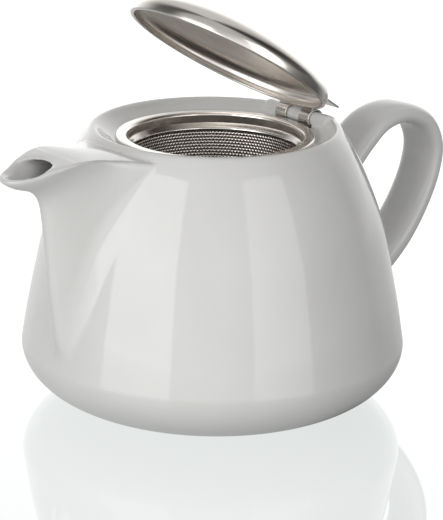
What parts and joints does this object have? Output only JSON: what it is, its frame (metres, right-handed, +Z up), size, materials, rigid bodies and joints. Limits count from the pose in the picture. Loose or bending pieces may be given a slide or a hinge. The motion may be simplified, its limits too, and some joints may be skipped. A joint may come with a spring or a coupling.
{
  "type": "teapot with infuser",
  "caption": "Glazed stoneware teapot with a conical round body, horn spout and strap handle, a hinged domed steel lid and a perforated steel infuser basket hung in its mouth.",
  "frame": {"origin": "middle of the whole object's box in plan, on the surface that the foot stands on", "axes": "+Z up, +X from the spout towards the handle, hinge axis along Y"},
  "size_m": [0.21, 0.1446, 0.1546],
  "materials": {
    "glaze": "glossy off-white glaze on stoneware",
    "polished_steel": "polished stainless steel",
    "satin_steel": "satin stainless steel",
    "perforated_steel": "perforated stainless steel sheet"
  },
  "bodies": {
    "pot": {"pot_body": "glaze", "spout": "glaze", "handle": "glaze", "hinge_bar": "glaze"},
    "lid": {"lid_dome": "polished_steel", "hinge_bracket": "satin_steel"},
    "basket": {"basket_flange": "polished_steel", "mesh_retaining_ring": "polished_steel", "basket_wall": "perforated_steel", "basket_seam_strip": "satin_steel", "basket_bottom_hoop": "satin_steel", "basket_bottom": "perforated_steel"}
  },
  "joints": [
    {"name": "lid_hinge", "type": "hinge", "parent": "pot", "child": "lid", "pos_m": [0.03314, 0, 0.1022], "axis": [0, 1, 0], "range_deg": [-33.9, 39.5]},
    {"name": "basket_turn", "type": "hinge", "parent": "pot", "child": "basket", "pos_m": [-0.00806, 0, 0.1], "axis": [0, 0, 1], "continuous": true}
  ]
}
